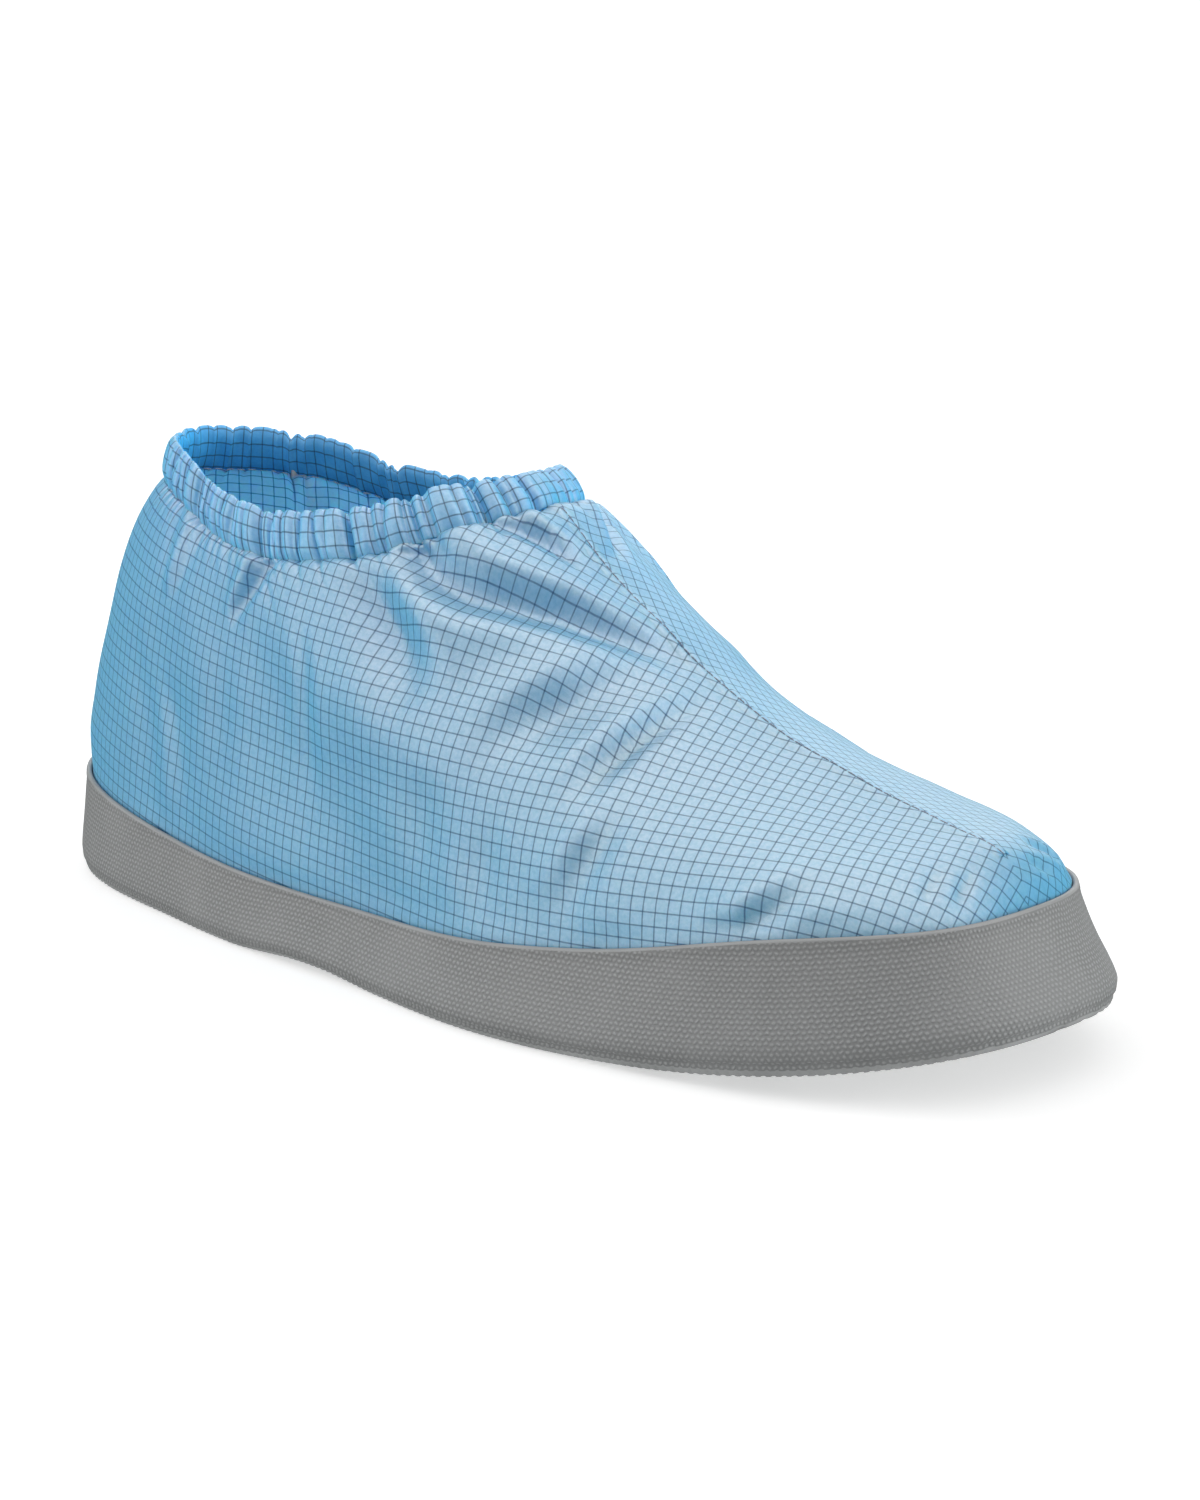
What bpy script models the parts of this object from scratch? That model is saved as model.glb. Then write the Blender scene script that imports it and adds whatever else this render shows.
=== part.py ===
"""Cleanroom shoe cover: a cloth upper with a gathered elastic collar on a moulded cup sole.

The shoe fits either foot, so it is the same on both sides of its front seam.
Frame: +X to the toe, +Y to the left, +Z up, with the origin on the floor at mid-length.
Sizes below are in millimetres. A share is a distance from heel (0) to toe (1).
"""
from collections import namedtuple

import bmesh
import bpy
import numpy as np

MM = 0.001

# Driving dimensions of the sole
LENGTH = 310.0
GAP = 0.3
HEEL_ROUND_LENGTH = 56.0
HEEL_ROUND_POWER = 1.97
TOE_ROUND_LENGTH = 96.0
TOE_ROUND_POWER = 2.65
TOE_SPRING = 12.5
SPRING_START_SHARE = 0.65
ARCH_RISE = 1.5
ARCH_START_SHARE = 0.30
ARCH_END_SHARE = 0.50
PLATE_THICKNESS = 5.0
LIP_THICKNESS = 1.4
INSOLE_THICKNESS = 3.0

# Driving dimensions of the cloth
CLOTH_WALL = 1.0
COLLAR_FRONT_X = 4.0
COLLAR_BACK_X = -124.0
COLLAR_HALF_WIDTH = 36.0
RIM_FRONT_X = -3.0
RIM_BACK_X = -121.0
RIM_HALF_WIDTH = 33.0
COLLAR_EGG = 0.2
RIDGE_LENGTH_SHARE = 0.10
FRONT_FALL_POWER = 3.0
BACK_FALL_POWER = 3.0
GATHERS = 36
GATHER_DEPTH = 0.7
GATHER_LIFT = 0.5
SEAM_HALF_WIDTH = 2.4
SEAM_RISE = 0.6
SEAM_TOE_LEVEL = 0.09

# How finely the round forms are cut
COLUMNS = 72
COLUMNS_PER_GATHER = 4
UPPER_RINGS = 14
SEAM_RUNGS = 22
TANGENT_STEP = 1e-3

# Half widths of the sole along its length, before the ends are rounded
SoleStation = namedtuple("SoleStation", "share half_width")
SOLE_STATIONS = (
    SoleStation(0.00, 37.0),
    SoleStation(0.14, 38.1),
    SoleStation(0.30, 47.9),
    SoleStation(0.45, 53.2),
    SoleStation(0.60, 60.5),
    SoleStation(0.74, 58.4),
    SoleStation(1.00, 52.5),
)

# The top edge of the sole: its height, and how far it leans in from the widest outline
EdgeStation = namedtuple("EdgeStation", "share height lean")
EDGE_STATIONS = (
    EdgeStation(0.00, 27.3, 1.6),
    EdgeStation(0.25, 19.3, 2.6),
    EdgeStation(0.45, 18.2, 3.4),
    EdgeStation(0.70, 24.6, 4.4),
    EdgeStation(0.86, 34.5, 4.2),
    EdgeStation(1.00, 38.2, 10.3),
)

# The sole's side from the tread up: height as a share of the wall, inset at the edge's own
# lean (1 is flush with the top edge) and a further inset of its own
SideStep = namedtuple("SideStep", "height lean inset")
SIDE_STEPS = (
    SideStep(0.000, 0.00, 2.4),
    SideStep(0.020, 0.00, 1.2),
    SideStep(0.060, 0.00, 0.8),
    SideStep(0.115, 0.00, 0.8),
    SideStep(0.130, 0.00, 0.2),
    SideStep(0.220, 0.00, 0.0),
    SideStep(0.380, 0.20, 0.0),
    SideStep(0.550, 0.48, 0.0),
    SideStep(0.780, 0.80, 0.0),
    SideStep(0.930, 0.96, 0.1),
    SideStep(0.945, 0.97, 0.0),
    SideStep(1.000, 1.00, 0.0),
)

# Rings of the upper from the sole's edge (level 0) to the casing (level 1): where each ring
# meets the ridge in front and the heel behind, how far it has narrowed to the collar's own
# outline, and how sharply it comes to the ridge
UpperRing = namedtuple("UpperRing", "level front_x front_z back_x back_z narrowing ridge")
UPPER_RING_TABLE = (
    UpperRing(0.00, 143.0, 38.2, -151.7, 27.3, 0.00, 0.00),
    UpperRing(0.06, 140.8, 43.8, -152.2, 32.5, 0.00, 0.10),
    UpperRing(0.12, 136.4, 48.2, -152.4, 37.5, 0.02, 0.25),
    UpperRing(0.25, 121.0, 52.8, -150.6, 47.0, 0.10, 0.50),
    UpperRing(0.40, 97.0, 59.2, -147.4, 59.0, 0.20, 0.80),
    UpperRing(0.55, 70.3, 67.8, -143.2, 71.0, 0.29, 0.62),
    UpperRing(0.70, 47.7, 79.3, -138.6, 83.0, 0.43, 0.30),
    UpperRing(0.85, 25.0, 94.4, -132.6, 94.5, 0.66, 0.05),
    UpperRing(1.00, 4.0, 110.3, -124.0, 105.0, 1.00, 0.00),
)

# The collar: heights of the casing's lower line and of the rim
CollarStation = namedtuple("CollarStation", "share casing rim")
COLLAR_STATIONS = (
    CollarStation(0.00, 105.0, 115.5),
    CollarStation(0.20, 102.5, 113.0),
    CollarStation(0.35, 97.5, 108.0),
    CollarStation(0.50, 95.5, 106.0),
    CollarStation(0.65, 96.5, 107.0),
    CollarStation(0.80, 100.5, 110.5),
    CollarStation(0.92, 106.5, 115.0),
    CollarStation(1.00, 110.3, 117.0),
)

# Section through the casing: share of its height, distance out from the cloth's line, and
# how much of the gathers shows there
CasingStep = namedtuple("CasingStep", "height out gather")
CASING_SECTION = (
    CasingStep(0.03, 0.2, 0.0),
    CasingStep(0.20, 1.0, 0.5),
    CasingStep(0.52, 1.4, 1.0),
    CasingStep(0.86, 1.0, 1.0),
    CasingStep(1.00, 0.2, 0.8),
    CasingStep(1.00, -0.8, 0.8),
    CasingStep(0.86, -1.7, 0.8),
    CasingStep(0.52, -2.1, 0.6),
    CasingStep(0.20, -1.8, 0.3),
    CasingStep(0.03, -1.2, 0.0),
)

# Looks: colour, roughness
Look = namedtuple("Look", "colour roughness")
LOOKS = {
    "outsole": Look((0.26, 0.27, 0.27), 0.60),
    "insole": Look((0.16, 0.36, 0.60), 0.85),
    "upper": Look((0.22, 0.50, 0.74), 0.75),
    "collar_casing": Look((0.22, 0.50, 0.74), 0.75),
    "front_seam": Look((0.20, 0.46, 0.70), 0.75),
}


def column(table, name):
    """One named column of a table."""
    return [getattr(row, name) for row in table]


def smooth(x, knots, values):
    """A curve through the given points that keeps their slopes."""
    knots = np.asarray(knots, float)
    values = np.asarray(values, float)
    slopes = np.gradient(values, knots)
    x = np.clip(np.asarray(x, float), knots[0], knots[-1])
    i = np.clip(np.searchsorted(knots, x, side="right") - 1, 0, len(knots) - 2)
    step = knots[i + 1] - knots[i]
    s = (x - knots[i]) / step
    start = (1 + 2 * s) * (1 - s) ** 2 * values[i] + s * (1 - s) ** 2 * step * slopes[i]
    end = s * s * (3 - 2 * s) * values[i + 1] + s * s * (s - 1) * step * slopes[i + 1]
    return start + end


def share_at(angle):
    """Share of the length at an angle around the shoe, 0 at the toe and pi at the heel."""
    return (1 + np.cos(angle)) / 2


def ring_angles(count):
    return np.arange(count) * 2 * np.pi / count


def rounded_end(distance, length, power):
    """1 along the shoe, falling to 0 in a round at an end."""
    inward = np.clip(distance / length, 0, 1)
    return (1 - (1 - inward) ** power) ** (1 / power)


def outline(angle):
    """The sole's widest outline, seen from above."""
    share = share_at(angle)
    half = smooth(share, column(SOLE_STATIONS, "share"), column(SOLE_STATIONS, "half_width"))
    half = half * rounded_end(share * LENGTH, HEEL_ROUND_LENGTH, HEEL_ROUND_POWER)
    half = half * rounded_end((1 - share) * LENGTH, TOE_ROUND_LENGTH, TOE_ROUND_POWER)
    return np.stack([(share - 0.5) * LENGTH, np.sign(np.sin(angle)) * half], -1)


def inset_outline(angle, inset):
    """The widest outline moved inward by a distance."""
    along = outline(angle + TANGENT_STEP) - outline(angle - TANGENT_STEP)
    inward = np.stack([-along[..., 1], along[..., 0]], -1)
    inward = inward / np.linalg.norm(inward, axis=-1)[..., None]
    return outline(angle) + inward * np.asarray(inset)[..., None]


def edge_height(share):
    return smooth(share, column(EDGE_STATIONS, "share"), column(EDGE_STATIONS, "height"))


def edge_lean(share):
    return smooth(share, column(EDGE_STATIONS, "share"), column(EDGE_STATIONS, "lean"))


def tread_height(share):
    """Underside of the sole: flat at the heel and the forefoot, with an arch and a toe spring."""
    spring = np.clip((share - SPRING_START_SHARE) / (1 - SPRING_START_SHARE), 0, 1) ** 2
    arch = np.clip((share - ARCH_START_SHARE) / (ARCH_END_SHARE - ARCH_START_SHARE), 0, 1)
    return TOE_SPRING * spring + ARCH_RISE * np.sin(np.pi * arch) ** 2


def floor_height(share):
    """The cup's floor inside the sole."""
    return tread_height(share) + PLATE_THICKNESS


def plan_loop(angle, inset, height):
    return np.column_stack([inset_outline(angle, inset), height])


def collar_loop(angle, front_x, back_x, half_width, heights):
    """An egg-shaped loop of the collar, wider toward the front."""
    share = share_at(angle)
    half = half_width * np.abs(np.sin(angle)) * (1 + COLLAR_EGG * (2 * share - 1))
    z = smooth(share, column(COLLAR_STATIONS, "share"), column(COLLAR_STATIONS, heights))
    return np.stack([back_x + (front_x - back_x) * share, np.sign(np.sin(angle)) * half, z], -1)


def casing_line(angle):
    return collar_loop(angle, COLLAR_FRONT_X, COLLAR_BACK_X, COLLAR_HALF_WIDTH, "casing")


def rim_line(angle):
    return collar_loop(angle, RIM_FRONT_X, RIM_BACK_X, RIM_HALF_WIDTH, "rim")


def ring_value(level, name):
    return smooth(level, column(UPPER_RING_TABLE, "level"), column(UPPER_RING_TABLE, name))


def upper_point(angle, level):
    """The upper's outer face, from the sole's edge at level 0 to the casing at level 1."""
    angle, level = np.broadcast_arrays(np.asarray(angle, float), np.asarray(level, float))
    share = share_at(angle)
    base = inset_outline(angle, edge_lean(share) + LIP_THICKNESS + GAP)
    toe_x, heel_x = UPPER_RING_TABLE[0].front_x, UPPER_RING_TABLE[0].back_x
    base_share = np.clip((base[..., 0] - heel_x) / (toe_x - heel_x), 0, 1)
    narrowing = ring_value(level, "narrowing")
    along = (1 - narrowing) * base_share + narrowing * share
    front_x, back_x = ring_value(level, "front_x"), ring_value(level, "back_x")
    x = back_x + (front_x - back_x) * along

    collar = casing_line(angle)
    sharpness = (1 - np.exp(-(1 - share) / RIDGE_LENGTH_SHARE)) ** ring_value(level, "ridge")
    y = ((1 - narrowing) * base[..., 1] + narrowing * collar[..., 1]) * sharpness

    front_fall = ring_value(level, "front_z") - blended_height(1.0, level)
    back_fall = ring_value(level, "back_z") - blended_height(0.0, level)
    z = blended_height(share, level)
    z = z + front_fall * share ** FRONT_FALL_POWER + back_fall * (1 - share) ** BACK_FALL_POWER
    return np.stack([x, y, z], -1)


def blended_height(share, level):
    """Straight run of height between the sole's edge and the casing's lower line."""
    top = smooth(share, column(COLLAR_STATIONS, "share"), column(COLLAR_STATIONS, "casing"))
    return (1 - level) * edge_height(share) + level * top


def out_normals(grid, closed=True):
    """Outward normals of a grid of points: rows run upward, columns run around."""
    if closed:
        around = np.roll(grid, -1, axis=1) - np.roll(grid, 1, axis=1)
    else:
        around = np.gradient(grid, axis=1)
    upward = np.gradient(grid, axis=0)
    normal = np.cross(around, upward)
    return normal / np.linalg.norm(normal, axis=-1)[..., None]


def add_loops(bm, loops):
    return [[bm.verts.new(tuple(np.asarray(point) * MM)) for point in loop] for loop in loops]


def bridge(bm, lower, upper, closed=True):
    """Quads between two rows of vertices."""
    count = len(lower)
    for i in range(count if closed else count - 1):
        j = (i + 1) % count
        bm.faces.new((lower[i], lower[j], upper[j], upper[i]))


def cap(bm, loop):
    """Fills a loop that is the same on both sides with rungs from left to right."""
    count = len(loop)
    half = count // 2
    for i in range(half):
        corners = (loop[i], loop[i + 1], loop[(count - i - 1) % count], loop[(count - i) % count])
        bm.faces.new(list(dict.fromkeys(corners)))


def look_material(name):
    look = LOOKS[name]
    material = bpy.data.materials.new(name)
    material.use_nodes = True
    shader = material.node_tree.nodes["Principled BSDF"]
    shader.inputs["Base Color"].default_value = (*look.colour, 1.0)
    shader.inputs["Roughness"].default_value = look.roughness
    shader.inputs["Metallic"].default_value = 0.0
    return material


def finish_body(bm, name, parent):
    """Turns the mesh into a named object with its faces pointing out."""
    bmesh.ops.recalc_face_normals(bm, faces=bm.faces)
    mesh = bpy.data.meshes.new(name)
    bm.to_mesh(mesh)
    bm.free()
    mesh.shade_smooth()
    mesh.materials.append(look_material(name))
    body = bpy.data.objects.new(name, mesh)
    bpy.context.scene.collection.objects.link(body)
    body.parent = parent
    return body


def cup_body(loops):
    """A body from rows of loops, filled at the first and last."""
    bm = bmesh.new()
    rows = add_loops(bm, loops)
    for lower, upper in zip(rows, rows[1:]):
        bridge(bm, lower, upper)
    cap(bm, rows[0])
    cap(bm, rows[-1])
    return bm


def ring_body(loops):
    """A ring-shaped body whose last row joins its first."""
    bm = bmesh.new()
    rows = add_loops(bm, loops)
    for lower, upper in zip(rows, rows[1:] + rows[:1]):
        bridge(bm, lower, upper)
    return bm


def build_outsole(parent):
    angle = ring_angles(COLUMNS)
    share = share_at(angle)
    tread, edge, lean = tread_height(share), edge_height(share), edge_lean(share)
    loops = []
    for step in SIDE_STEPS:
        height = tread + step.height * (edge - tread)
        loops.append(plan_loop(angle, step.lean * lean + step.inset, height))
    loops.append(plan_loop(angle, lean + LIP_THICKNESS, edge))
    loops.append(plan_loop(angle, lean + LIP_THICKNESS, floor_height(share)))
    return finish_body(cup_body(loops), "outsole", parent)


def build_insole(parent):
    angle = ring_angles(COLUMNS)
    share = share_at(angle)
    inset = edge_lean(share) + LIP_THICKNESS + GAP + CLOTH_WALL + GAP
    under = floor_height(share) + GAP
    loops = [plan_loop(angle, inset, under), plan_loop(angle, inset, under + INSOLE_THICKNESS)]
    return finish_body(cup_body(loops), "insole", parent)


def upper_face():
    """Rows of the upper's outer face, from inside the cup to the casing."""
    angle = ring_angles(COLUMNS)
    share = share_at(angle)
    inset = edge_lean(share) + LIP_THICKNESS + GAP
    foot = floor_height(share) + GAP
    edge = edge_height(share)
    rows = [plan_loop(angle, inset, foot), plan_loop(angle, inset, (foot + edge) / 2)]
    rows += [upper_point(angle, level) for level in np.linspace(0, 1, UPPER_RINGS)]
    return np.array(rows)


def build_upper(parent):
    outer = upper_face()
    inner = outer - out_normals(outer) * CLOTH_WALL
    return finish_body(ring_body(list(outer) + list(inner[::-1])), "upper", parent)


def build_collar_casing(parent):
    angle = ring_angles(GATHERS * COLUMNS_PER_GATHER)
    low, rim = casing_line(angle), rim_line(angle)
    normal = out_normals(np.array([low, rim]))[0]
    wave = np.cos(GATHERS * angle)
    loops = []
    for step in CASING_SECTION:
        out = step.out + GATHER_DEPTH * step.gather * wave
        lift = GATHER_LIFT * step.gather * step.height * wave
        line = low + (rim - low) * step.height + normal * out[:, None]
        line[:, 2] += lift
        loops.append(line)
    return finish_body(ring_body(loops), "collar_casing", parent)


def angle_at_side(level, side):
    """Angle at which a ring of the upper lies a given distance to the left of the ridge."""
    near, far = 0.0, np.pi / 2
    for _ in range(40):
        middle = (near + far) / 2
        if upper_point(middle, level)[1] < side:
            near = middle
        else:
            far = middle
    return near


def build_front_seam(parent):
    """A raised felled seam along the ridge, from near the toe to the casing."""
    sides = np.linspace(-1, 1, 5) * SEAM_HALF_WIDTH
    rows = []
    for level in np.linspace(SEAM_TOE_LEVEL, 1, SEAM_RUNGS):
        angles = [np.sign(side) * angle_at_side(level, abs(side)) for side in sides]
        rows.append(upper_point(np.array(angles), level))
    face = np.array(rows)
    normal = out_normals(face, closed=False)
    under = face + normal * GAP
    over = face + normal * (GAP + SEAM_RISE)
    bm = bmesh.new()
    sections = add_loops(bm, [list(top) + list(low[::-1]) for top, low in zip(over, under)])
    for lower, upper in zip(sections, sections[1:]):
        bridge(bm, lower, upper)
    bm.faces.new(sections[0])
    bm.faces.new(sections[-1])
    return finish_body(bm, "front_seam", parent)


def main():
    for item in list(bpy.data.objects):
        bpy.data.objects.remove(item, do_unlink=True)
    root = bpy.data.objects.new("root", None)
    bpy.context.scene.collection.objects.link(root)
    build_outsole(root)
    build_insole(root)
    build_upper(root)
    build_collar_casing(root)
    build_front_seam(root)


main()
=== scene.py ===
"""Dresses the shoe cover's frame: gathered grid cloth, a stitched front seam and an embossed sole.

Sizes are in millimetres in the part's own frame: +X to the toe, +Y to the left, +Z up, with the
origin on the floor at mid-length. A share is a distance from heel (0) to toe (1), an angle runs
round the shoe from the toe (0) to the heel (pi), and a level runs up the upper from the sole's
edge (0) to the casing (1).
"""

from collections import namedtuple

import bmesh
import bpy
import numpy as np
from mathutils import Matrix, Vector, noise


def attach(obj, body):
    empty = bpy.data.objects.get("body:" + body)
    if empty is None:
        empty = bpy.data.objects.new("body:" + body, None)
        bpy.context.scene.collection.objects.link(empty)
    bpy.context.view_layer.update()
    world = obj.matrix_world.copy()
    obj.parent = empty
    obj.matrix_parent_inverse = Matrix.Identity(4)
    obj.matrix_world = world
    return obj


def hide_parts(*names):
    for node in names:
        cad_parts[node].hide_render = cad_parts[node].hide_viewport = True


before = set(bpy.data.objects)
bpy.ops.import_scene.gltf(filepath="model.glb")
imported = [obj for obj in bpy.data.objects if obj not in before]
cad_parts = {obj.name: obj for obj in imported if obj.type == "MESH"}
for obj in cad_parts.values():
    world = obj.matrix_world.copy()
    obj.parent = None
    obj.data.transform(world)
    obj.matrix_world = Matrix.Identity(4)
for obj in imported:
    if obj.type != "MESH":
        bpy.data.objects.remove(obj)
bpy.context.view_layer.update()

MM = 0.001


def table(names, *rows, defaults=()):
    """Rows of values, each value with the name of its column."""
    kind = namedtuple("Row", names, defaults=defaults)
    return tuple(kind(*row) for row in rows)


# The sole, as in the part
LENGTH = 310.0
GAP = 0.3
HEEL_ROUND_LENGTH = 56.0
HEEL_ROUND_POWER = 1.97
TOE_ROUND_LENGTH = 96.0
TOE_ROUND_POWER = 2.65
TOE_SPRING = 12.5
SPRING_START_SHARE = 0.65
ARCH_RISE = 1.5
ARCH_START_SHARE = 0.30
ARCH_END_SHARE = 0.50
PLATE_THICKNESS = 5.0
LIP_THICKNESS = 1.4

# The cloth, as in the part
CLOTH_WALL = 1.0
COLLAR_FRONT_X = 4.0
COLLAR_BACK_X = -124.0
COLLAR_HALF_WIDTH = 36.0
RIM_FRONT_X = -3.0
RIM_BACK_X = -121.0
RIM_HALF_WIDTH = 33.0
COLLAR_EGG = 0.2
RIDGE_LENGTH_SHARE = 0.10
FRONT_FALL_POWER = 3.0
BACK_FALL_POWER = 3.0
SEAM_TOE_LEVEL = 0.09
TANGENT_STEP = 1e-3

SOLE_STATIONS = table(
    "share half_width",
    (0.00, 37.0),
    (0.14, 38.1),
    (0.30, 47.9),
    (0.45, 53.2),
    (0.60, 60.5),
    (0.74, 58.4),
    (1.00, 52.5),
)

EDGE_STATIONS = table(
    "share height lean",
    (0.00, 27.3, 1.6),
    (0.25, 19.3, 2.6),
    (0.45, 18.2, 3.4),
    (0.70, 24.6, 4.4),
    (0.86, 34.5, 4.2),
    (1.00, 38.2, 10.3),
)

# The sole's side from the tread up: share of the wall's height, share of the edge's lean, inset
SIDE_STEPS = table(
    "height lean inset",
    (0.000, 0.00, 2.4),
    (0.020, 0.00, 1.2),
    (0.060, 0.00, 0.8),
    (0.115, 0.00, 0.8),
    (0.130, 0.00, 0.2),
    (0.220, 0.00, 0.0),
    (0.380, 0.20, 0.0),
    (0.550, 0.48, 0.0),
    (0.780, 0.80, 0.0),
    (0.930, 0.96, 0.1),
    (0.945, 0.97, 0.0),
)

# The lip over the wall: distance below the sole's edge, and inset from the wall's face
LIP_STEPS = table(
    "drop inset",
    (0.55, 0.00),
    (0.18, 0.12),
    (0.00, 0.45),
    (0.00, 0.95),
    (0.18, 1.28),
    (0.55, 1.40),
)

UPPER_RING_TABLE = table(
    "level front_x front_z back_x back_z narrowing ridge",
    (0.00, 143.0, 38.2, -151.7, 27.3, 0.00, 0.00),
    (0.06, 140.8, 43.8, -152.2, 32.5, 0.00, 0.10),
    (0.12, 136.4, 48.2, -152.4, 37.5, 0.02, 0.25),
    (0.25, 121.0, 52.8, -150.6, 47.0, 0.10, 0.50),
    (0.40, 97.0, 59.2, -147.4, 59.0, 0.20, 0.80),
    (0.55, 70.3, 67.8, -143.2, 71.0, 0.29, 0.62),
    (0.70, 47.7, 79.3, -138.6, 83.0, 0.43, 0.30),
    (0.85, 25.0, 94.4, -132.6, 94.5, 0.66, 0.05),
    (1.00, 4.0, 110.3, -124.0, 105.0, 1.00, 0.00),
)

COLLAR_STATIONS = table(
    "share casing rim",
    (0.00, 105.0, 115.5),
    (0.20, 102.5, 113.0),
    (0.35, 97.5, 108.0),
    (0.50, 95.5, 106.0),
    (0.65, 96.5, 107.0),
    (0.80, 100.5, 110.5),
    (0.92, 106.5, 115.0),
    (1.00, 110.3, 117.0),
)

# Section through the casing: share of its height, distance out, and how far pleats press it in
CASING_SECTION = table(
    "height out press",
    (-0.04, -0.3, 0.8),
    (0.06, 0.4, 0.9),
    (0.24, 1.1, 1.0),
    (0.52, 1.4, 1.0),
    (0.82, 1.1, 0.9),
    (0.98, 0.3, 0.7),
    (1.02, -0.5, 0.4),
    (0.97, -1.3, 0.3),
    (0.82, -2.0, 0.35),
    (0.52, -2.3, 0.4),
    (0.20, -2.0, 0.45),
    (0.00, -1.3, 0.6),
)

# How finely the pieces are cut
UPPER_COLUMNS = 600
UPPER_ROWS = 78
ROW_CROWDING = 1.35
FLAT_COLUMNS = 101
FLAT_ROWS = 49
CASING_COLUMNS = 1500
CASING_AROUND = 32
SOLE_COLUMNS = 1800
SOLE_WALL_ROWS = 15
SOLE_ACROSS = 15
INSOLE_COLUMNS = 240
INSOLE_ACROSS = 13
CURVE_SAMPLES = 4001
PATH_POINTS = 60
PATH_SOFTNESS = 0.6
FLATTEN_STEPS = 40
WELD_DISTANCE = 0.00002

# Which part of a flat panel sets its grain, and how far the grain is turned, in degrees
GRAIN_LEVELS = slice(8, 34)
GRAIN_COLUMNS = slice(45, 80)
GRAIN_TURN = -6.0

# Pleats, puffs and lumps of the cloth
CLOTH_THICKNESS = 0.5
GRID_PITCH = 3.1
GRID_OFFSET = 0.5
EVEN_LEVEL = 0.5
FOLD_EDGE_LEVEL = 0.07
SMALL_PLEATS = 110
SMALL_PLEAT_JITTER = 0.45
SMALL_PLEAT_DEPTHS = (0.15, 2.2)
SMALL_PLEAT_WIDTHS = (0.45, 1.1)
PLEAT_RARITY = 1.9
SMALL_PLEAT_SLANT = 1.8
SMALL_PLEAT_REACH = 3.5
PLEAT_ROUNDING = 0.2
PUFF_HEIGHT = 1.3
PUFF_DISTANCE = 4.0
PUFF_HEEL_SHARE = 0.2
FOLD_START = 2.5
LUMP_SIZE = 42.0
LUMP_HEIGHT = 0.8
RUMPLE_SIZE = 14.0
RUMPLE_HEIGHT = 0.25
RIM_RUFFLE = 0.6
RIM_RUFFLE_POWER = 3
CASING_LUMP_SIZE = 5.0
CASING_LUMP_HEIGHT = 0.45
SEED = 11

# The cloth's top edge inside the casing: share of its height, inset, and share of the pleats' depth
TOP_EDGE_HEIGHT = 0.25
TOP_EDGE_INSET = 0.25
TOP_EDGE_PRESS = 0.72

# A small gather of the casing: distance along it, depth, half width, drift from its foot to its rim
Gather = namedtuple("Gather", "place depth width slant")

# Main pleats at the casing: side (-1 right, 1 left), place along the shoe, depth, half width,
# and reach down the upper
MAIN_PLEATS = table(
    "side x depth width reach",
    (-1, -112.0, 1.2, 1.3, 5.0),
    (-1, -98.0, 2.0, 1.2, 3.0),
    (-1, -88.5, 2.8, 1.1, 3.0),
    (-1, -85.0, 1.8, 1.0, 4.0),
    (-1, -59.5, 2.5, 1.1, 3.0),
    (-1, -56.0, 1.8, 1.4, 6.0),
    (-1, -29.0, 2.7, 1.1, 3.0),
    (-1, -22.5, 1.6, 1.3, 4.0),
    (-1, -13.0, 3.0, 1.4, 4.0),
    (-1, -10.0, 1.6, 1.0, 4.0),
    (-1, -1.0, 2.8, 1.1, 4.0),
    (-1, 1.8, 1.8, 0.9, 5.0),
    (1, -106.0, 2.2, 1.0, 8.0),
    (1, -102.5, 1.8, 0.9, 5.0),
    (1, -78.5, 2.6, 1.1, 10.0),
    (1, -52.0, 2.2, 1.0, 6.0),
    (1, -39.0, 2.4, 1.1, 9.0),
    (1, -17.0, 2.6, 1.2, 9.0),
    (1, -13.5, 2.0, 0.9, 5.0),
    (1, -2.0, 2.4, 1.0, 6.0),
)

# The long swell over each side of the foot, in side view as (x, z)
SWELL_LINE = ((-28, 76), (-3, 67), (22, 57), (57, 43), (84, 33))

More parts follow.
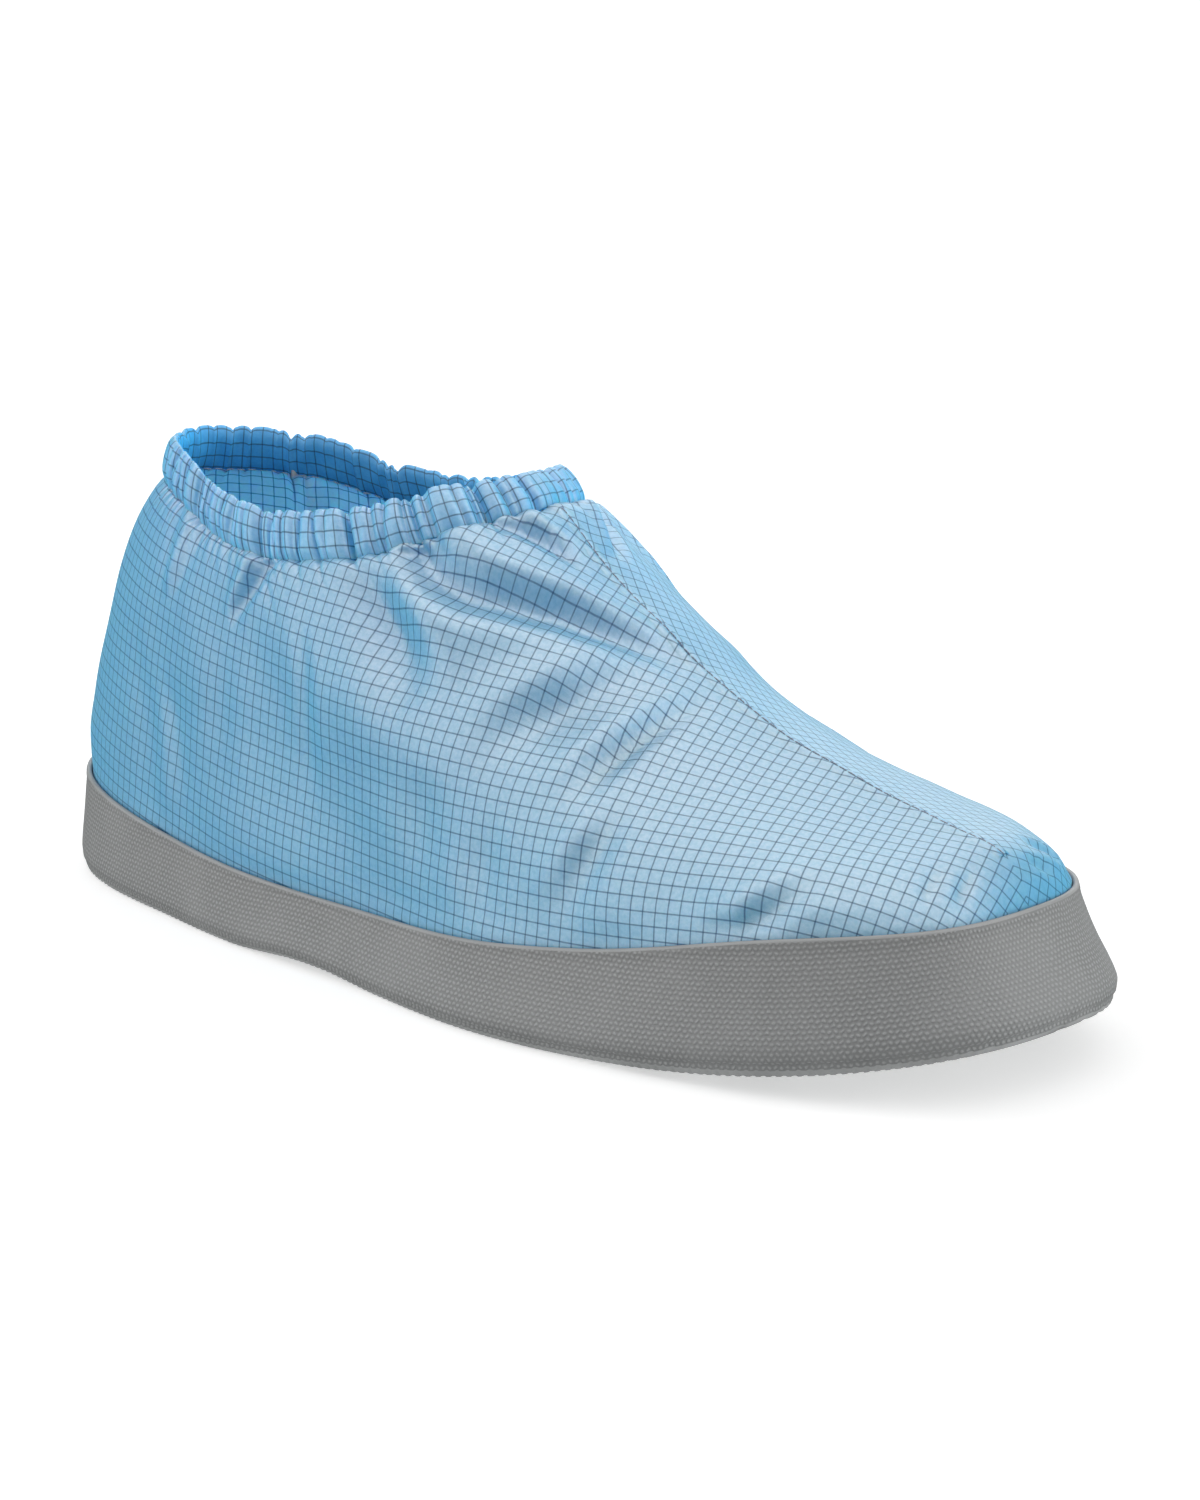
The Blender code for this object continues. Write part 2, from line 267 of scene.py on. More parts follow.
# Main creases of the upper: side, line of the trough in side view as (x, z), depth (a ridge where
# negative), half width, how far the cloth bulges over the trough from above (0 the same on both
# sides, 1 only above), and whether the crease starts full at the casing
FOLDS = table(
    "side line depth width overhang from_casing",
    # Right side, from the heel to the toe
    (-1, ((-90, 98), (-92, 90), (-96, 80)), -1.6, 3.2, 0.0, True),
    (-1, ((-55, 97), (-58, 89), (-65, 78)), 2.8, 2.8, 0.4, True),
    (-1, ((-26, 98), (-18, 91), (-10, 84), (-4, 77), (3, 67)), 4.8, 6.4, 0.8),
    (-1, ((-12, 101), (-4, 96.5), (5, 94), (14, 92.5), (24, 90), (33, 86), (42, 82), (51, 78)),
     4.8, 5.0, 0.5, True),
    (-1, ((3, 107), (10, 104), (15, 101), (20, 98)), 2.8, 2.2, 0.6, True),
    (-1, ((45, 79), (40, 76), (36, 72), (31, 66), (22, 58)), 3.0, 6.0, 0.8),
    (-1, ((58, 73), (55, 69), (53, 65), (51, 60), (50, 53)), 3.2, 3.4, 0.7),
    (-1, ((62, 55), (61, 47), (58, 39), (52, 29)), 1.6, 4.2, 0.8),
    (-1, ((113, 47), (107, 39), (101, 31), (94, 23)), 2.6, 4.2, 0.5),
    (-1, ((-38, 86), (-34, 71), (-33, 56), (-33, 40)), 0.6, 3.4),
    (-1, ((-110, 78), (-106, 50), (-103, 22)), 0.25, 4.0),
    (-1, ((-98, 60), (-94, 46), (-92, 22)), -0.8, 4.5),
    (-1, ((-66, 72), (-70, 36)), 0.6, 6.0),
    (-1, ((10, 56), (8, 26)), 0.6, 7.0),
    (-1, ((32, 50), (28, 24)), 0.6, 5.0),
    (-1, SWELL_LINE, -2.6, 12.0),
    (-1, ((131, 48), (133, 42)), 0.8, 1.6),
    (-1, ((136, 47), (138, 41)), 1.0, 1.5),
    # Left side
    (1, ((-103, 99), (-107, 91), (-115, 80)), 1.4, 3.4, 0.0, True),
    (1, ((-78, 98), (-81, 90), (-85, 78)), 2.0, 3.0, 0.4, True),
    (1, ((-39, 96), (-33, 88), (-22, 76), (-14, 66)), 4.2, 4.0, 0.7, True),
    (1, ((-17, 99), (-6, 95), (6, 90), (18, 84)), 4.4, 4.2, 0.8, True),
    (1, ((-1, 107), (9, 103), (20, 98)), 2.6, 2.4, 0.5, True),
    (1, ((18, 60), (32, 64), (46, 67)), 1.6, 5.4, 0.4),
    (1, ((50, 62), (58, 52), (60, 38)), 1.8, 4.8, 0.5),
    (1, ((84, 28), (91, 36), (97, 46)), 1.0, 4.4, 0.4),
    (1, ((-60, 78), (-58, 40)), 0.7, 5.5),
    (1, ((-96, 74), (-99, 38)), 0.7, 5.5),
    (1, ((-128, 82), (-131, 44)), 0.7, 5.5),
    (1, ((-8, 60), (-12, 30)), 0.7, 6.0),
    (1, ((24, 54), (22, 26)), 0.7, 5.0),
    (1, SWELL_LINE, -2.6, 12.0),
    (1, ((132, 48), (135, 42)), 1.4, 2.0),
    (1, ((138, 47), (140, 41)), 1.4, 1.8),
    defaults=(0.0, False),
)

# The ridges beside a trough: height, distance out and half width, as shares of the trough's own
FOLD_LIP = 0.35
FOLD_LIP_PLACE = 1.5
FOLD_LIP_WIDTH = 0.9
FOLD_WIDENING = 0.5

# How far a crease runs on over the shoe's ridge, in half widths
FOLD_CROSSING = 2.5

# The front seam: distance to the side of the ridge, and rise over the cloth
SEAM_SECTION = table(
    "side rise",
    (-2.6, -0.30),
    (-2.0, 0.02),
    (-1.2, 0.26),
    (-0.6, 0.26),
    (-0.3, 0.12),
    (0.0, -0.10),
    (0.3, 0.12),
    (0.6, 0.26),
    (1.2, 0.26),
    (2.0, 0.02),
    (2.6, -0.30),
)
SEAM_SINK = 0.42

# Stitches: length, gap to the next, radius of the thread
Stitch = namedtuple("Stitch", "length gap radius")
SEAM_STITCH = Stitch(2.4, 0.25, 0.30)
CASING_STITCH = Stitch(2.2, 0.9, 0.20)
STITCH_SIDES = 6

# A stitch from end to end: place along it, and share of its radius
STITCH_SHAPE = ((-0.5, 0.35), (-0.32, 1.0), (0.0, 1.1), (0.32, 1.0), (0.5, 0.35))

# Rows of the casing that the inside stitches lie on, and that face them
HEM_ROW = -2
HEM_FACING_ROW = 2

# The insole's edge from below: height, and distance in from its widest outline
INSOLE_ROUND = ((0.0, 0.5), (0.4, 0.0), (2.4, 0.0), (2.85, 0.25), (3.0, 0.8))
INSOLE_CROWN = 0.6

# Tread and embossing
TREAD_PITCH = 2.1
TREAD_DEPTH = 0.7
TREAD_WAVE = 1.4
RIB_SHARPNESS = 1.4
GROOVE_HEIGHT = 0.10
TREAD_BAND_HEIGHT = 0.05
FINE_WALL_SPAN = (0.13, 0.93)
TREAD_WAVE_LENGTH = 34.0
DOT_PITCH = 1.4
DOT_ROW_PITCH = 1.15

# The cloth's grid and threads, measured in grid squares
LINE_HALF_WIDTH = 0.055
LINE_SOFTNESS = 0.03
LINE_STRENGTH = 0.74
LINE_WEAR = (0.85, 1.0)
THREADS_PER_SQUARE = 8.0
THREAD_TWIST = 1.6

# Uneven tone: patches to a square of the pattern or to a metre, steps of detail, roughness
Mottle = namedtuple("Mottle", "scale detail roughness", defaults=(2.0, 0.5))
CLOTH_GRAIN = Mottle(7.0, 3.0, 0.7)
CLOTH_CLOUDS = Mottle(38.0)
CLOTH_FLECKS = Mottle(2.8, 2.0, 0.6)
WORN_LINES = Mottle(2.3)
WALL_CLOUDS = Mottle(55.0, 3.0)
WALL_GRAIN = Mottle(6.0)
RUBBER_CLOUDS = Mottle(60.0, 3.0)
RUBBER_GRAIN = Mottle(1800.0)
INSOLE_GRAIN = Mottle(9.0, 3.0)
TONE_RANGE = (0.3, 0.7)
PATCH_RANGE = (0.25, 0.75)

# Shares of grain, clouds and flecks in the cloth's tone; of weave, grain and lines in its relief
CLOTH_TONE_SHARES = (0.4, 0.2, 0.4)
CLOTH_RELIEF_SHARES = (0.35, 0.8, 0.4)
WALL_GRAIN_SHARE = 0.15
NAP_SHARE = 0.75
RUBBER_ROUGHNESS = (0.5, 0.65)
DOT_TOP_RADIUS = 0.12
DOT_FOOT_RADIUS = 0.46

# Relief of a surface: strength, and distance from low to high in metres
Relief = namedtuple("Relief", "strength distance")
CLOTH_RELIEF = Relief(0.5, 0.00012)
THREAD_RELIEF = Relief(0.5, 0.00006)
WALL_RELIEF = Relief(0.8, 0.0003)
RUBBER_RELIEF = Relief(0.2, 0.00012)
INSOLE_RELIEF = Relief(0.4, 0.00015)

# Colours, light and deep
Tones = namedtuple("Tones", "light deep")
CLOTH_TONES = Tones((0.056, 0.385, 0.66, 1), (0.034, 0.315, 0.58, 1))
# Painted light: a much paler copy of the cloth's tones for the upper's inner face, brightening its shaded
# inside
PAINTED_LIGHT_INSIDE_TONES = Tones((0.60, 0.74, 1.0, 1), (0.53, 0.67, 0.96, 1))
# Painted light: the casing's copy of the cloth's tones, lighter than the upper's
PAINTED_LIGHT_CASING_TONES = Tones((0.07, 0.46, 0.76, 1), (0.045, 0.385, 0.68, 1))
# Painted light: a brighter, more saturated copy of the cloth's tones for the casing's shaded inner face
PAINTED_LIGHT_CASING_INSIDE_TONES = Tones((0.06, 0.54, 1.0, 1), (0.04, 0.44, 0.92, 1))
# Thread tones: the light one on the twist's crests, the deep one in its grooves as painted shade
DARK_THREAD_TONES = Tones((0.05, 0.14, 0.25, 1), (0.02, 0.07, 0.15, 1))
PALE_THREAD_TONES = Tones((0.55, 0.66, 0.76, 1), (0.35, 0.48, 0.62, 1))
WALL_TONES = Tones((0.202, 0.210, 0.210, 1), (0.172, 0.180, 0.180, 1))
# Rubber grey lightened by a painted highlight for the lip; it colours the tread and inside too
RUBBER_AND_HIGHLIGHT_TONES = Tones((0.29, 0.30, 0.30, 1), (0.24, 0.25, 0.25, 1))
INSOLE_TONES = Tones((0.18, 0.38, 0.62, 1), (0.12, 0.29, 0.50, 1))
GRID_LINE_COLOUR = (0.016, 0.085, 0.18, 1)
# Painted highlight: the raised dots are coloured lighter than the wall's ground
DOT_HIGHLIGHT_COLOUR = (0.275, 0.285, 0.285, 1)

# Faces of the cloth: tones, weight of the pale coat, and share of light that spreads in the cloth
ClothFace = namedtuple("ClothFace", "tones veil depth")
OUTSIDE = ClothFace(CLOTH_TONES, 1.0, 0.6)
INSIDE = ClothFace(PAINTED_LIGHT_INSIDE_TONES, 0.3, 0.8)
CASING_OUTSIDE = ClothFace(PAINTED_LIGHT_CASING_TONES, 0.78, 0.6)
CASING_INSIDE = ClothFace(PAINTED_LIGHT_CASING_INSIDE_TONES, 0.2, 0.0)

# Camera and light
CAMERA_PLACE = (0.59723, -0.65039, 0.26357)
CAMERA_TARGET = (0.01378, 0.00578, 0.05117)
CAMERA_FOCAL_PIXELS = 3785.0
IMAGE_WIDTH = 1200.0
SENSOR_WIDTH = 36.0
NEAREST_SEEN = 0.01
FLOOR_SIZE = 14.0
FLOOR_GLOW = 0.38
WORLD_STRENGTH = 0.62

# Soft lights: the way to the light, strength, spread in degrees, and whether it shows as gloss alone.
# The floor light stands for light that a pale floor throws back.
SUNS = table(
    "name toward strength spread gloss",
    ("top_light", (0.0, -0.05, 1.0), 0.15, 50.0, False),
    ("right_light", (1.0, 1.0, 0.05), 2.60, 40.0, False),
    ("left_light", (-1.0, -0.25, 0.25), 1.70, 40.0, False),
    ("floor_light", (0.0, -0.4, -0.9), 1.05, 120.0, False),
    ("top_gloss", (-0.1, -0.05, 1.0), 4.3, 70.0, True),
    ("front_gloss", (-0.40, -0.85, 0.30), 3.1, 70.0, True),
    ("toe_gloss", (0.75, 0.0, 0.55), 3.2, 60.0, True),
    ("back_gloss", (-0.45, 0.72, 0.54), 1.6, 50.0, True),
)


def column(rows, name):
    """One named column of a table."""
    return [getattr(row, name) for row in rows]


def smooth(x, knots, values):
    """A curve through the given points that keeps their slopes."""
    knots = np.asarray(knots, float)
    values = np.asarray(values, float)
    slopes = np.gradient(values, knots)
    x = np.clip(np.asarray(x, float), knots[0], knots[-1])
    i = np.clip(np.searchsorted(knots, x, side="right") - 1, 0, len(knots) - 2)
    step = knots[i + 1] - knots[i]
    s = (x - knots[i]) / step
    start = (1 + 2 * s) * (1 - s) ** 2 * values[i] + s * (1 - s) ** 2 * step * slopes[i]
    end = s * s * (3 - 2 * s) * values[i + 1] + s * s * (s - 1) * step * slopes[i + 1]
    return start + end


def value_at(rows, place, name):
    """One column of a table, run smoothly between its rows, whose first values are places."""
    return smooth(place, [row[0] for row in rows], column(rows, name))


def ease(x):
    """0 to 1, gentle at both ends."""
    x = np.clip(x, 0, 1)
    return x * x * (3 - 2 * x)


def unit(vectors):
    """Vectors brought to length 1."""
    return vectors / np.linalg.norm(vectors, axis=-1)[..., None]


def share_at(angle):
    return (1 + np.cos(angle)) / 2


def rounded_end(distance, length, power):
    """1 along the shoe, falling to 0 in a round at an end."""
    inward = np.clip(distance / length, 0, 1)
    return (1 - (1 - inward) ** power) ** (1 / power)


def outline(angle):
    """The sole's widest outline, seen from above."""
    share = share_at(angle)
    half = value_at(SOLE_STATIONS, share, "half_width")
    half = half * rounded_end(share * LENGTH, HEEL_ROUND_LENGTH, HEEL_ROUND_POWER)
    half = half * rounded_end((1 - share) * LENGTH, TOE_ROUND_LENGTH, TOE_ROUND_POWER)
    return np.stack([(share - 0.5) * LENGTH, np.sign(np.sin(angle)) * half], -1)


def inset_outline(angle, inset):
    """The widest outline moved inward by a distance."""
    along = outline(angle + TANGENT_STEP) - outline(angle - TANGENT_STEP)
    inward = unit(np.stack([-along[..., 1], along[..., 0]], -1))
    return outline(angle) + inward * np.asarray(inset)[..., None]


def edge_height(share):
    return value_at(EDGE_STATIONS, share, "height")


def edge_lean(share):
    return value_at(EDGE_STATIONS, share, "lean")


def tread_height(share):
    """Underside of the sole: flat at the heel and the forefoot, with an arch and a toe spring."""
    spring = np.clip((share - SPRING_START_SHARE) / (1 - SPRING_START_SHARE), 0, 1) ** 2
    arch = np.clip((share - ARCH_START_SHARE) / (ARCH_END_SHARE - ARCH_START_SHARE), 0, 1)
    return TOE_SPRING * spring + ARCH_RISE * np.sin(np.pi * arch) ** 2


def floor_height(share):
    return tread_height(share) + PLATE_THICKNESS


def plan_loop(angle, inset, height):
    return np.column_stack([inset_outline(angle, inset), height])


def collar_loop(angle, front_x, back_x, half_width, heights):
    """An egg-shaped loop of the collar, wider toward the front."""
    share = share_at(angle)
    half = half_width * np.abs(np.sin(angle)) * (1 + COLLAR_EGG * (2 * share - 1))
    z = value_at(COLLAR_STATIONS, share, heights)
    return np.stack([back_x + (front_x - back_x) * share, np.sign(np.sin(angle)) * half, z], -1)


def casing_line(angle):
    return collar_loop(angle, COLLAR_FRONT_X, COLLAR_BACK_X, COLLAR_HALF_WIDTH, "casing")


def rim_line(angle):
    return collar_loop(angle, RIM_FRONT_X, RIM_BACK_X, RIM_HALF_WIDTH, "rim")


def ring_value(level, name):
    return value_at(UPPER_RING_TABLE, level, name)


def blended_height(share, level):
    """Straight run of height between the sole's edge and the casing's lower line."""
    top = value_at(COLLAR_STATIONS, share, "casing")
    return (1 - level) * edge_height(share) + level * top


def upper_point(angle, level):
    """The upper's smooth outer face, from the sole's edge at level 0 to the casing at level 1."""
    angle, level = np.broadcast_arrays(np.asarray(angle, float), np.asarray(level, float))
    share = share_at(angle)
    base = inset_outline(angle, edge_lean(share) + LIP_THICKNESS + GAP)
    toe_x, heel_x = UPPER_RING_TABLE[0].front_x, UPPER_RING_TABLE[0].back_x
    base_share = np.clip((base[..., 0] - heel_x) / (toe_x - heel_x), 0, 1)
    narrowing = ring_value(level, "narrowing")
    along = (1 - narrowing) * base_share + narrowing * share
    front_x, back_x = ring_value(level, "front_x"), ring_value(level, "back_x")
    x = back_x + (front_x - back_x) * along

    collar = casing_line(angle)
    sharpness = (1 - np.exp(-(1 - share) / RIDGE_LENGTH_SHARE)) ** ring_value(level, "ridge")
    y = ((1 - narrowing) * base[..., 1] + narrowing * collar[..., 1]) * sharpness

    front_fall = ring_value(level, "front_z") - blended_height(1.0, level)
    back_fall = ring_value(level, "back_z") - blended_height(0.0, level)
    z = blended_height(share, level)
    z = z + front_fall * share ** FRONT_FALL_POWER + back_fall * (1 - share) ** BACK_FALL_POWER
    return np.stack([x, y, z], -1)


def out_normals(grid, closed=True):
    """Outward normals of a grid of points: rows run upward, columns run around."""
    if closed:
        around = np.roll(grid, -1, axis=1) - np.roll(grid, 1, axis=1)
    else:
        around = np.gradient(grid, axis=1)
    upward = np.gradient(grid, axis=0)
    return unit(np.cross(around, upward))


def arc_length(points):
    """Distance along a line of points, from its first."""
    steps = np.linalg.norm(np.diff(points, axis=0), axis=1)
    return np.concatenate([[0.0], np.cumsum(steps)])


def even_angles(curve, count):
    """Angles that cut a closed curve into even steps, the same on both sides of the shoe."""
    angle = np.linspace(0, np.pi, CURVE_SAMPLES)
    run = arc_length(curve(angle))
    half = np.interp(np.linspace(0, run[-1], count // 2 + 1), run, angle)
    return np.concatenate([half, 2 * np.pi - half[-2:0:-1]])


def around_arc(loop):
    """Distance around a closed loop, with its whole length as the last entry."""
    return arc_length(np.vstack([loop, loop[:1]]))


class Skin:
    """Gathers grids of points into one mesh with a pattern map in its own sizes."""

    def __init__(self):
        self.points = []
        self.faces = []
        self.corners = []
        self.slots = []
        self.count = 0

    def add_grid(self, grid, pattern, closed=True, slot=0):
        """Adds rows of points; pattern has one column more than a closed grid."""
        rows, columns = grid.shape[:2]
        column_count = columns if closed else columns - 1
        row, col = np.meshgrid(np.arange(rows - 1), np.arange(column_count), indexing="ij")
        rows_at = np.stack([row, row, row + 1, row + 1], -1).reshape(-1, 4)
        columns_at = np.stack([col, col + 1, col + 1, col], -1).reshape(-1, 4)
        self.faces.append(self.count + rows_at * columns + columns_at % columns)
        self.corners.append(pattern[rows_at, columns_at].reshape(-1, 2))
        self.slots.append(np.full(len(rows_at), slot))
        self.points.append(grid.reshape(-1, 3))
        self.count += rows * columns

    def make(self, name, *materials):
        mesh = bpy.data.meshes.new(name)
        points = np.concatenate(self.points) * MM
        mesh.from_pydata(points.tolist(), [], np.concatenate(self.faces).tolist())
        layer = mesh.uv_layers.new(name="pattern")
        layer.uv.foreach_set("vector", np.concatenate(self.corners).astype(np.float32).ravel())
        mesh.polygons.foreach_set("material_index", np.concatenate(self.slots).astype(np.int32))
        for material in materials:
            mesh.materials.append(material)
        weld(mesh)
        mesh.shade_smooth()
        piece = bpy.data.objects.new(name, mesh)
        bpy.context.scene.collection.objects.link(piece)
        return piece


def weld(mesh):
    """Joins points that lie on each other and turns every face outward."""
    bm = bmesh.new()
    bm.from_mesh(mesh)
    bmesh.ops.remove_doubles(bm, verts=bm.verts, dist=WELD_DISTANCE)
    bmesh.ops.recalc_face_normals(bm, faces=bm.faces)
    bm.to_mesh(mesh)
    bm.free()


def wrapped(values):
    """A closed row of values with its first one again at the end."""
    return np.concatenate([values, values[:1]])


def spread(run, climb):
    """A pattern map with one distance around for each column and one climb for each row."""
    return np.stack(np.broadcast_arrays(run[None, :], climb[:, None]), -1)


# Cloth panel laid flat

def flat_panel():
    """Flat coordinates of one side panel, over angles 0 to pi and levels 0 to 1."""
    angle = np.linspace(0, np.pi, FLAT_COLUMNS)
    level = np.linspace(0, 1, FLAT_ROWS)
    grid = upper_point(angle[None, :], level[:, None])
    skin = Skin()
    skin.add_grid(grid, np.zeros((FLAT_ROWS, FLAT_COLUMNS, 2)), closed=False)
    panel = skin.make("flat_panel")
    bpy.context.view_layer.objects.active = panel
    bpy.ops.object.mode_set(mode="EDIT")
    bpy.ops.mesh.select_all(action="SELECT")
    bpy.ops.uv.unwrap(method="MINIMUM_STRETCH", iterations=FLATTEN_STEPS, margin=0.0)
    bpy.ops.object.mode_set(mode="OBJECT")
    mesh = panel.data
    vertex = np.empty(len(mesh.loops), np.int32)
    mesh.loops.foreach_get("vertex_index", vertex)
    flat = np.empty(len(mesh.loops) * 2, np.float32)
    mesh.uv_layers["pattern"].uv.foreach_get("vector", flat)
    laid = np.zeros((FLAT_ROWS * FLAT_COLUMNS, 2))
    laid[vertex] = flat.reshape(-1, 2)
    bpy.data.objects.remove(panel, do_unlink=True)
    return angle, level, grid, laid.reshape(FLAT_ROWS, FLAT_COLUMNS, 2)


def panel_pattern():
    """The side panel's flat coordinates in grid squares, with the grain along the shoe's side."""
    angle, level, grid, laid = flat_panel()
    solid = np.linalg.norm(np.diff(grid, axis=0), axis=-1).sum()
    flat = np.linalg.norm(np.diff(laid, axis=0), axis=-1).sum()
    laid = laid * solid / flat
    part = (GRAIN_LEVELS, GRAIN_COLUMNS)
    along = np.column_stack([grid[part][..., 0].ravel(), grid[part][..., 2].ravel()])
    along = along - along.mean(axis=0)
    seen = laid[part].reshape(-1, 2)
    seen = seen - seen.mean(axis=0)
    slope = np.linalg.lstsq(along, seen, rcond=None)[0]
    right = slope[0] / np.linalg.norm(slope[0])
    upward = np.array([-right[1], right[0]])
    if upward @ slope[1] < 0:
        upward = -upward
    u, v = laid @ right, laid @ upward
    turn = np.radians(GRAIN_TURN)
    u, v = u * np.cos(turn) + v * np.sin(turn), v * np.cos(turn) - u * np.sin(turn)
    u = u - u[:, -1].mean()
    return angle, level, np.stack([u, v], -1) / GRID_PITCH + GRID_OFFSET


def pattern_at(panel, angle, level):
    """Reads the flat panel at any angle and level, the left side mirroring the right."""
    angles, levels, flat = panel
    angle = np.abs((np.asarray(angle) + np.pi) % (2 * np.pi) - np.pi)
    angle, level = np.broadcast_arrays(angle, np.asarray(level, float))
    column_at = angle / np.pi * (len(angles) - 1)
    row_at = np.clip(level, 0, 1) * (len(levels) - 1)
    i = np.clip(column_at.astype(int), 0, len(angles) - 2)
    j = np.clip(row_at.astype(int), 0, len(levels) - 2)
    a, b = (column_at - i)[..., None], (row_at - j)[..., None]
    low = flat[j, i] * (1 - a) + flat[j, i + 1] * a
    high = flat[j + 1, i] * (1 - a) + flat[j + 1, i + 1] * a
    return low * (1 - b) + high * b


# Pleats and creases

def small_pleats(length):
    """Small gathers all round the casing, at distances along it."""
    rng = np.random.default_rng(SEED)
    pitch = length / SMALL_PLEATS
    jitter = rng.uniform(-SMALL_PLEAT_JITTER, SMALL_PLEAT_JITTER, SMALL_PLEATS)
    place = (np.arange(SMALL_PLEATS) + jitter) * pitch
    shallowest, deepest = SMALL_PLEAT_DEPTHS
    depth = shallowest + (deepest - shallowest) * rng.uniform(0, 1, SMALL_PLEATS) ** PLEAT_RARITY
    width = rng.uniform(*SMALL_PLEAT_WIDTHS, SMALL_PLEATS)
    slant = rng.uniform(-SMALL_PLEAT_SLANT, SMALL_PLEAT_SLANT, SMALL_PLEATS)
    return [Gather(*gather) for gather in zip(place, depth, width, slant)]


def pressed(run, length, place, width):
    """How far a pleat at a place presses in points along the casing, from 0 to 1."""
    away = ((run - place + length / 2) % length - length / 2) / width
    return np.exp(PLEAT_ROUNDING - np.sqrt(away ** 2 + PLEAT_ROUNDING ** 2))


def casing_place(angle, run, pleat):
    """Distance along the casing at which a main pleat sits."""
    line = casing_line(angle)
    miss = np.where(line[:, 1] * pleat.side >= 0, np.abs(line[:, 0] - pleat.x), np.inf)
    return run[np.argmin(miss)]


def small_depths(angle, height):
    """Depth of the small gathers around the casing, at a share of its height."""
    run = around_arc(casing_line(angle))
    return sum(gather.depth * pressed(run[:-1], run[-1], gather.place + gather.slant * height, gather.width)
               for gather in small_pleats(run[-1]))


def main_depths(angle):
    """Depth of each main pleat around the casing, with its reach down the upper."""
    run = around_arc(casing_line(angle))
    return [(pleat.depth * pressed(run[:-1], run[-1], casing_place(angle, run[:-1], pleat), pleat.width),
             pleat.reach) for pleat in MAIN_PLEATS]


def fold_path(side_points, fold):
    """Points of the upper that lie under a crease's line."""
    stops = np.array(fold.line, float)
    at = np.linspace(0, len(stops) - 1, PATH_POINTS)
    line = [np.interp(at, np.arange(len(stops)), stops[:, k]) for k in (0, 1)]
    path = []
    for x, z in zip(*line):
        gap = np.hypot(side_points[:, 0] - x, side_points[:, 2] - z)
        near = np.exp(-(gap - gap.min()) / PATH_SOFTNESS)
        path.append(near @ side_points / near.sum())
    return np.array(path)


def fold_depth(points, normals, fold):
    """Inward depth of one crease at every point: a soft trough between two ridges."""
    depth = np.zeros(len(points))
    inside = points[:, 1] * fold.side
    on_side = inside >= -FOLD_CROSSING * fold.width
    side_points = points[on_side]
    path = fold_path(side_points[inside[on_side] >= 0], fold)
    gaps = np.linalg.norm(side_points[:, None, :] - path[None, :, :], axis=2)
    nearest = gaps.argmin(axis=1)
    along = nearest / (PATH_POINTS - 1)
    upward = np.cross(normals[on_side], np.gradient(path, axis=0)[nearest])
    upward = upward * np.where(upward[:, 2:] >= 0, 1, -1)
    above = np.where(((side_points - path[nearest]) * upward).sum(axis=1) >= 0, 1, -1)
    widening = FOLD_WIDENING * (along - 0.5) * (-1 if fold.from_casing else 1)
    away = above * gaps.min(axis=1) / (fold.width * (1 + widening))
    trough = np.exp(-away ** 2)
    for side in (-1, 1):
        lip = FOLD_LIP * (1 + side * fold.overhang)
        trough = trough - lip * np.exp(-((away - side * FOLD_LIP_PLACE) / FOLD_LIP_WIDTH) ** 2)
    fade = np.cos(np.pi / 2 * along ** 2) if fold.from_casing else np.sin(np.pi * along)
    crossing = ease(1 + inside[on_side] / (FOLD_CROSSING * fold.width))
    depth[on_side] = fold.depth * fade * crossing * trough
    return depth


def lumps(points, size):
    """Smooth uneven ground, about -1 to 1."""
    return np.array([noise.noise(Vector(point / size)) for point in points])


def cloth_shift(base, angle, level):
    """How far the gathered cloth stands out from the smooth upper."""
    flat = base.reshape(-1, 3)
    normals = out_normals(base).reshape(-1, 3)
    drop = np.linalg.norm(base - base[-1][None], axis=-1)
    inward = sum(fold_depth(flat, normals, fold) for fold in FOLDS).reshape(drop.shape)
    uneven = LUMP_HEIGHT * lumps(flat, LUMP_SIZE) + RUMPLE_HEIGHT * lumps(flat, RUMPLE_SIZE)
    shift = (uneven.reshape(drop.shape) - inward) * ease(drop / FOLD_START)
    shift = shift * ease(level / FOLD_EDGE_LEVEL)[:, None]

    gathers = small_depths(angle, 0.0)[None, :] * np.exp(-drop / SMALL_PLEAT_REACH)
    for depth, reach in main_depths(angle):
        gathers = gathers + depth[None, :] * np.exp(-drop / reach)
    fullness = PUFF_HEEL_SHARE + (1 - PUFF_HEEL_SHARE) * share_at(angle)[None, :]
    puff = PUFF_HEIGHT * fullness * drop / PUFF_DISTANCE * np.exp(1 - drop / PUFF_DISTANCE)
    return shift + puff - gathers


# Pieces

def top_edge(angle):
    """The cloth's top edge, taken up inside the casing so that no gap shows under it."""
    low, rim = casing_line(angle), rim_line(angle)
    normal = out_normals(np.array([low, rim]))[0]
    depth = small_depths(angle, TOP_EDGE_HEIGHT) + sum(depth for depth, _ in main_depths(angle))
    inset = TOP_EDGE_INSET + TOP_EDGE_PRESS * depth
    return low + (rim - low) * TOP_EDGE_HEIGHT - normal * inset[:, None]


def upper_rows(angle, level):
    """Rows of the dressed upper's outer face: inside the cup, up to the casing, inside the casing."""
    base = upper_point(angle[None, :], level[:, None])
    face = base + out_normals(base) * cloth_shift(base, angle, level)[..., None]
    share = share_at(angle)
    inset = edge_lean(share) + LIP_THICKNESS + GAP
    foot = floor_height(share) + GAP
    tuck = [plan_loop(angle, inset, foot), plan_loop(angle, inset, (foot + edge_height(share)) / 2)]
    return np.array(tuck), face, top_edge(angle)[None]


